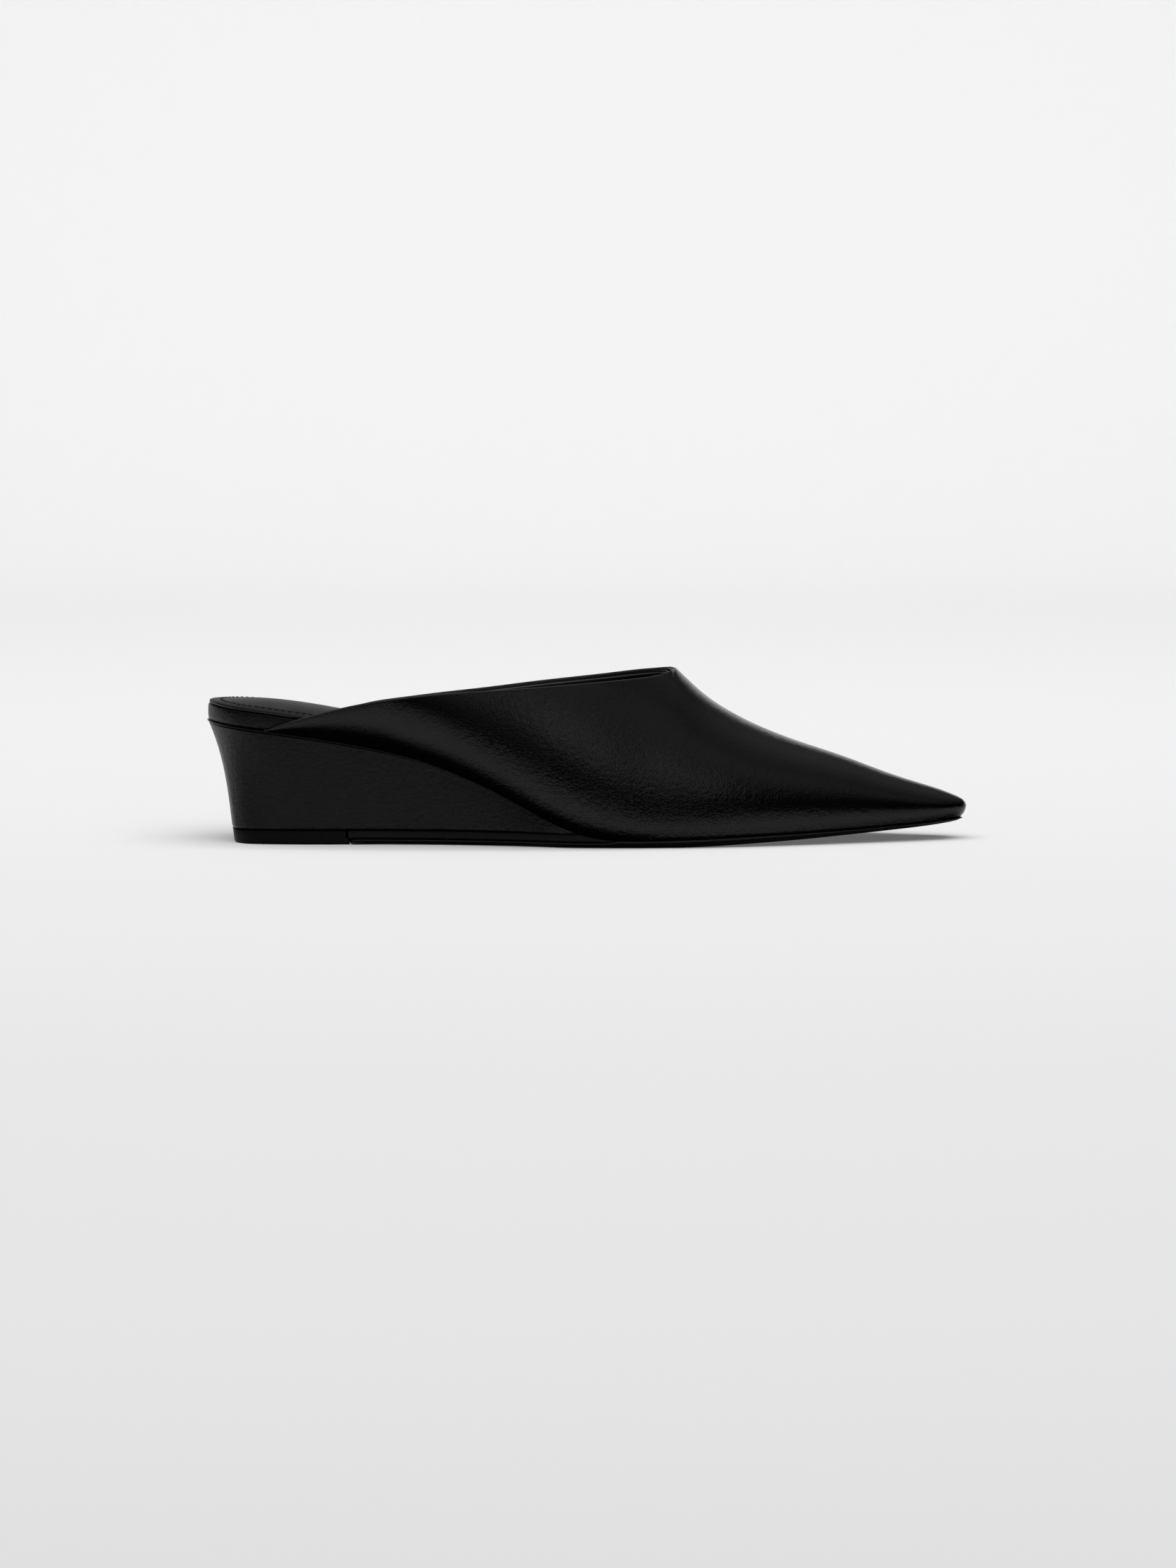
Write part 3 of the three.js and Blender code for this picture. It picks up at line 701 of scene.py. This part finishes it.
def build_inner_strip(name, profile, material, edges):
    """A strip that runs inside the topline: the turned-in leather or the lining's rolled edge. Both
    are coloured lighter than the leather they belong to, as painted light.
    """
    parts = []
    for side, last_station, step in (("lateral", None, 1), ("medial", -1, -1)):
        parts.append([part[LINING_START:last_station][::step] for part in edges[side]])
    edge, lift, normals = [np.concatenate(pair) for pair in zip(*parts)]
    order = np.arange(len(edge))
    fade = smoothstep(0, STRIP_FADE, np.minimum(order, order[::-1]))[:, None]
    rows = []
    for up, out in profile:
        rows.append(edge + lift * (up - LINING_DROP) + normals * mix(STRIP_BURIED, out, fade))
    section = ease_grid(np.stack(rows, axis=1), STRIP_EASE, 0)
    body = Builder()
    body.grid(section, close=True)
    for end in (section[:1], section[-1:]):
        middle = np.broadcast_to(end.mean(axis=1, keepdims=True), end.shape)
        body.grid(np.concatenate([end, middle]), close=True)
    return body.piece(name, [material])


def loop(stations, points_at):
    """A loop around the sole: the lateral side from back to front, then the medial side back."""
    lateral = points_at("lateral", stations)
    medial = points_at("medial", stations)
    return np.concatenate([lateral, medial[::-1]])


def stack_piece(name, loops, material):
    """Closes a stack of loops, from the lowest to the highest, with flat strips at both ends."""
    body = Builder()
    body.grid(np.stack(loops), close=True)
    half = len(loops[0]) // 2
    for ring in (loops[0], loops[-1]):
        body.grid(np.stack([ring[:half], ring[half:][::-1]]))
    return body.piece(name, [material])


def flare(q, x):
    """The wedge's side flares out in a hollow curve at the back and nearly straight ahead of it."""
    hollow = mix(*HOLLOWS, smoothstep(*HOLLOW_RUN, x))
    return q + hollow * (q ** 3 - q)


def foot_points(side, x, z):
    """Points of the wedge's foot, which starts ahead of the heel seat's back."""
    foot_x = x + WEDGE_BACK_SET * (1 - x / WEDGE_END)
    return stack(foot_x, SIGN[side] * root(foot_square[side](foot_x)), z)


def thin_end(thickness, low, high):
    """Station between low and high at which a tapering piece has run out to a thin tip."""
    stations = np.linspace(low, high, 400)
    return stations[np.argmax(thickness(stations) < THIN_TIP)]


def wedge_height(x):
    return last["feather"](x) - GAP - HEEL_PLANE - GAP / 2


LIP_DEPTHS = (0.0, 0.1, 0.22, 0.34, 0.46, 0.58, 0.68, 0.77, 0.85, 0.93, 1.02, 1.15, 1.5, 2.2)
LIP_ROOM = 6.0  # the lip is drawn smaller where the wedge is lower than this
FOOT_SHARES = (0.008, 0.02)  # first loops above the wedge's foot, for its rounded edge
FOOT_TUCKS = (-0.35, -0.12)  # how far the foot and the first loop above it draw in
TOP_TUCK = -0.3


def build_wedge():
    """The covered wedge with a thin rolled lip along its top edge."""
    stations = both_ends(0, thin_end(wedge_height, WEDGE_END, BASE_END), 220)
    foot = HEEL_PLANE + GAP / 2
    tall = wedge_height(stations)
    top = foot + tall
    flat = np.zeros(len(stations))

    def level(q, edge):
        def at(side, x):
            low = foot_points(side, x, foot)
            high = feather_points(side, x, 0, top)
            point = mix(low, high, flare(q, x)[:, None])
            point[:, 2] = mix(foot, top, q)
            return point + plan_normal(side, x) * edge[:, None]
        return loop(stations, at)

    fade = 1 - LIP_FADE * smoothstep(*LIP_RUN, stations)
    room = np.clip(tall / LIP_ROOM, 0, 1)
    foot_tuck, edge_tuck = FOOT_TUCKS
    loops = [level(flat, flat + foot_tuck)]
    for q in np.concatenate([FOOT_SHARES, np.linspace(0.04, 1, 26)[:-1]]):
        share = q * (1 - LIP_DEPTHS[-1] * room / np.maximum(tall, 1))
        tuck = edge_tuck if q == FOOT_SHARES[0] else 0.0
        loops.append(level(share, flat + tuck))
    for depth in LIP_DEPTHS[::-1]:
        relief = swell(depth, **BEAD) + swell(depth, **GROOVE)
        tuck = TOP_TUCK if depth == 0 else 0.0
        share = 1 - depth * room / np.maximum(tall, 1)
        loops.append(level(share, relief * fade * room + tuck))
    return stack_piece("wedge_cover", loops, WRAP)


def board_inset(side, x):
    """How far the board's edge lies inside the feather line; more where a wing stands beside it."""
    start = WING_START[side]
    return mix(GAP, WALL + SIDE_PLAY, smoothstep(start - BOARD_STEP_IN, start, x))


def board_top(x):
    return last["feather"](x) + board_thickness(x)


RAND_PROFILE = (  # inset and share of the board's thickness, from below
    (1.2, -0.02), (0.4, -0.02), (0.12, 0.02), (0, 0.08), (-0.08, 0.25), (-0.1, 0.5),
    (-0.07, 0.75), (0, 0.9), (0.1, 0.96), (0.3, 0.99), (0.8, 1.0), (3.0, 1.0),
)


def build_rand():
    """The wrapped board, whose rounded edge shows around the heel seat."""
    stations = both_ends(0, FEATHER_LENGTH, 260)

    def level(inset, share):
        def at(side, x):
            z = last["feather"](x) + board_thickness(x) * share
            return feather_points(side, x, board_inset(side, x) + inset, z)
        return loop(stations, at)

    return stack_piece("heel_rand", [level(*row) for row in RAND_PROFILE], WRAP)


def sock_points(side, x, inward, height):
    """Points of the sock's top, on the way from its edge towards the crown's middle line.

    `inward` is one distance from the edge, or for each station a share of the whole way.
    """
    spine_x = np.clip(x, *SOCK_SPINE)
    spine = stack(spine_x, last["centre"](spine_x), 0)
    edge = feather_points(side, x, board_inset(side, x) + SOCK_INSET, 0 * x)
    reach = np.linalg.norm(edge - spine, axis=1)
    share = np.clip(inward / reach, 0, 1) if np.ndim(inward) == 0 else inward
    point = mix(edge, spine, np.reshape(share, (-1, 1)))
    station = mix(x, spine_x, share)
    rise = crown(station) * (1 - (1 - share) ** CROWN_POWER)
    point[:, 2] = board_top(station) + GAP + height + rise
    return point


SOCK_PROFILE = (  # distance inwards and height of the sock's edge
    (0.55, 0.0), (0.1, 0.05), (0.0, 0.2), (0.0, 0.62), (0.1, 0.86), (0.35, 1.05), (0.8, 1.17),
)
SOCK_HALF_WIDTH = 25.0
RING_INSETS = (1.6, 2.3, 2.9, 3.3, 3.55, 3.8, 4.0, 4.2, 4.45, 4.8, 5.3, 6.0)
CHANNEL_WIDTH = 0.5


def build_sock():
    """The padded sock: a soft edge, a stitched channel and the crown."""
    stations = both_ends(0, FEATHER_LENGTH, 260)
    loops = []
    for inward, height in SOCK_PROFILE:
        crown_share = 1 - (1 - inward / SOCK_HALF_WIDTH) ** CROWN_POWER
        flat = height - crown(stations) * crown_share
        loops.append(loop(stations, lambda side, x: sock_points(side, x, inward, flat)))
    for inward in RING_INSETS:
        height = SOCK_EDGE - swell(inward, STITCH_INSET, CHANNEL_WIDTH, CHANNEL_DEPTH)
        loops.append(loop(stations, lambda side, x: sock_points(side, x, inward, height)))
    for share in np.linspace(0.3, 1, 14):
        shares = np.full(len(stations), share)
        loops.append(loop(stations, lambda side, x: sock_points(side, x, shares, SOCK_EDGE)))
    return stack_piece("padded_sock", loops, SOCK)


def stitch_path(side):
    """The line of the stitches along one side, just under the sock's top."""
    stations = both_ends(0, STITCH_END, 600)
    return sock_points(side, stations, STITCH_INSET, SOCK_EDGE - 0.1)


def build_stitches():
    """A row of thread stitches in the sock's channel, all around the seat and the waist."""
    path = np.concatenate([stitch_path("lateral")[::-1], stitch_path("medial")[1:]])
    travel = np.concatenate([[0], np.cumsum(np.linalg.norm(np.diff(path, axis=0), axis=1))])
    starts = np.arange(0, travel[-1] - STITCH_PITCH, STITCH_PITCH)
    body = Builder()
    rings = np.linspace(0, 1, 7)
    angles = np.linspace(0, 2 * np.pi, 9)[:-1]
    thick = STITCH_RADIUS * root(1 - (2 * rings - 1) ** 4)
    arch = STITCH_ARCH * np.sin(np.pi * rings) - STITCH_SINK
    for start in starts:
        spots = start + rings * STITCH_LENGTH
        spot = np.stack([np.interp(spots, travel, path[:, k]) for k in range(3)], axis=1)
        run = unit(spot[-1] - spot[0])
        side = unit(np.cross(run, (0, 0, 1)))
        up = np.cross(side, run)
        centre = spot + up * arch[:, None]
        around = side * np.cos(angles)[:, None] + up * np.sin(angles)[:, None]
        body.grid(centre[:, None] + around[None] * thick[:, None, None], close=True)
    return body.piece("sock_stitches", [THREAD], merge=0.0005)


def base_height(x):
    top = np.minimum(HEEL_PLANE - GAP / 2, last["feather"](x) - GAP)
    return top - outsole_top(x) - GAP


BASE_PROFILE = ((0.4, 0), (0.1, 0.08), (0, 0.25), (0, 0.75), (0.1, 0.92), (0.4, 1))


def build_base():
    """The strip under the wedge's arch, with rounded edges."""
    stations = both_ends(BASE_START, thin_end(base_height, BASE_END, BALL), 120)
    bottom = outsole_top(stations) + GAP
    top = bottom + base_height(stations)

    def level(inset, share):
        def at(side, x):
            width = root(foot_square[side](x)) - inset
            return stack(x, SIGN[side] * width, mix(bottom, top, share))
        return loop(stations, at)

    return stack_piece("base_strip", [level(*row) for row in BASE_PROFILE], EDGE)


def outsole_top(x):
    sheet = OUTSOLE_THICKNESS - GAP / 2
    return mix(sheet, last["feather"](x) - GAP, smoothstep(BASE_END + GAP, BALL, x))


def outsole_bottom(x):
    return np.where(x > TOE_SPRING["x"][0], np.maximum(0, spring(x)), 0)


OUTSOLE_PROFILE = (  # share of the bevel, further inset and share of the height
    (1, 0.5, 0), (1, 0, 0.03), (0.62, 0, 0.2), (0.25, 0, 0.42), (0, 0, 0.58),
    (0, -0.6 * OUTSOLE_LIP, 0.68), (0, -OUTSOLE_LIP, 0.78), (0, -OUTSOLE_LIP, 0.92),
    (0, -0.6 * OUTSOLE_LIP, 1), (0, 0.6, 1),
)


def build_outsole():
    """The sole sheet: bevelled side, a thin edge that stands out, toe spring, arched back end."""
    stations = np.concatenate([
        towards_start(OUTSOLE_START - OUTSOLE_ARCH, OUTSOLE_START, 24)[:-1],
        towards_end(OUTSOLE_START, FEATHER_LENGTH, 240),
    ])
    bevel = mix(OUTSOLE_BEVEL, TOE_BEVEL, smoothstep(BALL, FEATHER_LENGTH, stations))
    bevel = bevel * smoothstep(OUTSOLE_START - OUTSOLE_ARCH - 2, OUTSOLE_START + 8, stations)

    def level(inset, share):
        def at(side, x):
            z = mix(outsole_bottom(x), outsole_top(x), share)
            arch = np.clip((x - OUTSOLE_START + OUTSOLE_ARCH) / OUTSOLE_ARCH, 0, 1)
            foot = root(foot_square[side](np.minimum(x, BALL))) * root(1 - (1 - arch) ** 14)
            under = stack(x, SIGN[side] * np.maximum(foot - inset, 0), z)
            joined = smoothstep(OUTSOLE_JOIN, BALL, x)[:, None]
            return mix(under, feather_points(side, x, inset, z), joined)
        return loop(stations, at)

    loops = [level(bevel * share + inset, height) for share, inset, height in OUTSOLE_PROFILE]
    return stack_piece("outsole_sheet", loops, SHEET)


def build_lift():
    """The heel lift, with softened edges and a rounded lip at its lower front."""
    stations = towards_start(WEDGE_BACK_SET, LIFT_END, 120)

    def level(inset, z):
        def at(side, x):
            width = root(foot_square[side](x))
            narrow = np.maximum(0, width - inset) / np.maximum(width, max(inset, 1e-6))
            back = inset * (1 - smoothstep(WEDGE_BACK_SET, WEDGE_BACK_SET + HEEL_ROUND, x))
            front = LIFT_LIP * smoothstep(LIFT_END - LIFT_LIP_LENGTH, LIFT_END, x)
            front = front * (1 - smoothstep(*LIFT_LIP_TOP, z))
            return stack(x + back + front, SIGN[side] * width * narrow, z)
        return loop(stations, at)

    top = HEEL_PLANE - GAP / 2
    taper = LIFT_INSET + LIFT_TAPER
    rows = (
        (taper + 0.3, 0), (taper, 0.2), (taper * 0.8, 1.5), (taper * 0.7, 2.0), (taper * 0.6, 2.5),
        (LIFT_INSET, top - 0.3), (LIFT_INSET + 0.1, top - 0.08), (LIFT_INSET + 0.35, top),
    )
    return stack_piece("heel_top_piece", [level(*row) for row in rows], LIFT)


upper, edge_lines = build_upper()
finish_piece(upper, "upper_nappa", "upper")
# The lining's edge strip takes a lighter colour, a painted highlight.
finish_piece(build_inner_strip("lining_edge", LINING_EDGE, BINDING_PAINTED_HIGHLIGHT, edge_lines), "upper_nappa")
# The turned-in strip takes a lighter colour, painted light on the top of the inner wall.
finish_piece(build_inner_strip("turned_edge", TURNED_EDGE, TURNED_PAINTED_LIGHT, edge_lines), "upper_nappa")
finish_piece(build_wedge(), "wedge_wrap", "wedge")
finish_piece(build_rand(), "board_wrap", "insole_board")
sock = finish_piece(build_sock(), "sock_leather", "insole_sock")
finish_piece(build_stitches(), "sock_leather")
finish_piece(build_base(), "base_edge", "wedge_base")
finish_piece(build_outsole(), "outsole_rubber", "outsole")
finish_piece(build_lift(), "lift_rubber", "heel_lift")


# Stage: pale paper, soft light and the camera. Its places and lengths are in metres.
PHOTO_SIZE = (1659, 2212)
PX_PER_MM = 4.0
HEEL_PX = 293.5  # the photograph's column of the heel seat's back
GROUND_ROW = 1182.7  # and its row of the floor under the shoe
ROWS_PER_MM = 3.985
CAMERA_ELEVATION = 5.0
CAMERA_DISTANCE = 2.6
SENSOR = 36.0  # millimetres, like the lens
PAPER_TONE = 0.88
PAPER_GLOW = 0.12
PAPER_HALF_WIDTH = 3.0
PAPER_LIGHT = 34.5  # watts
WALL_LIGHT = 16.0
TABLE_GLOW = 0.9  # strength of the lit band just below the horizon
TABLE_NEAR = (-0.66, -0.38)  # heights of a direction between which the band comes up
TABLE_FAR = (-0.17, 0.02)  # and fades out
GLOWS = (  # azimuth, elevation, spread in degrees and strength
    (16, 31, 19, 0.9),
    (40, 56, 26, 0.3),
    (-12, 27, 22, 0.25),
    (190, 48, 55, 0.08),
    (0, 90, 72, 0.3),
)


def paper(name):
    """Matte pale paper with faint clouds, lifted a little by its own glow."""
    material, tree, shader, coords = new_material(name)
    clouds = noise_node(tree, coords, 3.0, 2.0)
    color = tone(tree, clouds, grey(PAPER_TONE * 0.995), grey(PAPER_TONE))
    tree.links.new(color, shader.inputs["Base Color"])
    shader.inputs["Roughness"].default_value = 0.9
    shader.inputs["Specular IOR Level"].default_value = 0.0
    shader.inputs["Emission Color"].default_value = (1, 1, 1, 1)
    shader.inputs["Emission Strength"].default_value = PAPER_GLOW
    return material


def sweep_part(name, profile, glossy):
    """A strip of paper across the set along a profile of (y, z) points."""
    points = [(x, y, z) for y, z in profile for x in (-PAPER_HALF_WIDTH, PAPER_HALF_WIDTH)]
    faces = [(2 * i, 2 * i + 1, 2 * i + 3, 2 * i + 2) for i in range(len(profile) - 1)]
    mesh = bpy.data.meshes.new(name)
    mesh.from_pydata(points, [], faces)
    mesh.materials.append(paper(name))
    mesh.shade_smooth()
    part = bpy.data.objects.new(name, mesh)
    part.visible_glossy = glossy
    bpy.context.scene.collection.objects.link(part)


def build_sweep():
    """A floor, which the leather doesn't mirror, and the wall that it curves up into."""
    front = -1.7
    back = 1.5
    radius = 0.35
    top = 0.5
    angles = np.linspace(0, np.pi / 2, 24)
    bend = [(back + radius * np.sin(a), radius * (1 - np.cos(a))) for a in angles]
    sweep_part("paper_floor", [(front, 0.0), (back, 0.0)], glossy=False)
    sweep_part("paper_wall", bend + [(back + radius, top)], glossy=True)


def towards(azimuth, elevation, distance):
    """A place around the shoe; azimuth 0 is above the camera, positive to its right."""
    turn = np.radians(azimuth)
    lift = np.radians(elevation)
    away = Vector((np.cos(lift) * np.sin(turn), -np.cos(lift) * np.cos(turn), np.sin(lift)))
    return away * distance


def area_light(name, place, size, watts, aim):
    """A wide soft lamp for the paper, which the leather doesn't mirror."""
    data = bpy.data.lights.new(name, "AREA")
    data.shape = "RECTANGLE"
    data.size, data.size_y = size
    data.energy = watts
    lamp = bpy.data.objects.new(name, data)
    lamp.location = place
    lamp.rotation_euler = (Vector(aim) - Vector(place)).to_track_quat("-Z", "Y").to_euler()
    lamp.visible_glossy = False
    bpy.context.scene.collection.objects.link(lamp)


def glow_node(tree, direction, azimuth, elevation, spread, strength):
    """A soft round glow in the dark studio around one direction, `spread` degrees wide."""
    dot = tree.nodes.new("ShaderNodeVectorMath")
    dot.operation = "DOT_PRODUCT"
    tree.links.new(direction, dot.inputs[0])
    dot.inputs[1].default_value = towards(azimuth, elevation, 1.0)
    rim = float(np.cos(np.radians(spread)))
    glow = map_node(tree, dot.outputs["Value"], rim, 1.0, 0.0, strength)
    glow.node.interpolation_type = "SMOOTHSTEP"
    return glow


def table_band(tree, direction):
    """A lit band just below the horizon, which stands for the table in the leather's gloss."""
    height = tree.nodes.new("ShaderNodeSeparateXYZ")
    tree.links.new(direction, height.inputs["Vector"])
    low = map_node(tree, height.outputs["Z"], *TABLE_NEAR, 0.0, TABLE_GLOW)
    high = map_node(tree, height.outputs["Z"], *TABLE_FAR, 1.0, 0.0)
    for edge in (low, high):
        edge.node.interpolation_type = "SMOOTHSTEP"
    return math_node(tree, "MULTIPLY", low, high)


def build_world():
    """A dark studio: the table's band, soft glows in front, a weak one behind, a dim ceiling."""
    world = bpy.data.worlds.new("studio")
    world.use_nodes = True
    tree = world.node_tree
    direction = tree.nodes.new("ShaderNodeTexCoord").outputs["Generated"]
    total = table_band(tree, direction)
    for glow in GLOWS:
        total = math_node(tree, "ADD", total, glow_node(tree, direction, *glow))
    background = tree.nodes["Background"]
    tree.links.new(total, background.inputs["Strength"])
    background.inputs["Color"].default_value = (1, 1, 1, 1)
    bpy.context.scene.world = world


def build_lights():
    build_world()
    area_light("paper_light", towards(0, 76, 2.0), (3.0, 2.8), PAPER_LIGHT, aim=(0.0, 0.0, 0.0))
    area_light("wall_wash", (0.0, 0.4, 1.9), (3.0, 0.6), WALL_LIGHT, aim=(0.0, 2.2, 0.9))


def build_camera():
    """The photograph's view: square to the shoe's lateral side and 5 degrees above it."""
    mid_x = (PHOTO_SIZE[0] / 2 - HEEL_PX) / PX_PER_MM
    mid_z = (GROUND_ROW - PHOTO_SIZE[1] / 2) / ROWS_PER_MM
    target = Vector((np.array([mid_x, 0.0, mid_z]) + ORIGIN) * MM)
    elevation = np.radians(CAMERA_ELEVATION)
    away = Vector((0.0, -np.cos(elevation), np.sin(elevation))) * CAMERA_DISTANCE
    data = bpy.data.cameras.new("camera")
    data.sensor_fit = "AUTO"
    data.sensor_width = SENSOR
    data.lens = SENSOR * CAMERA_DISTANCE / (PHOTO_SIZE[1] / PX_PER_MM * MM)
    camera = bpy.data.objects.new("camera", data)
    camera.location = target + away
    camera.rotation_euler = (-away).to_track_quat("-Z", "Y").to_euler()
    bpy.context.scene.collection.objects.link(camera)
    bpy.context.scene.camera = camera


build_sweep()
build_lights()
build_camera()
bpy.context.scene.view_settings.view_transform = "Standard"
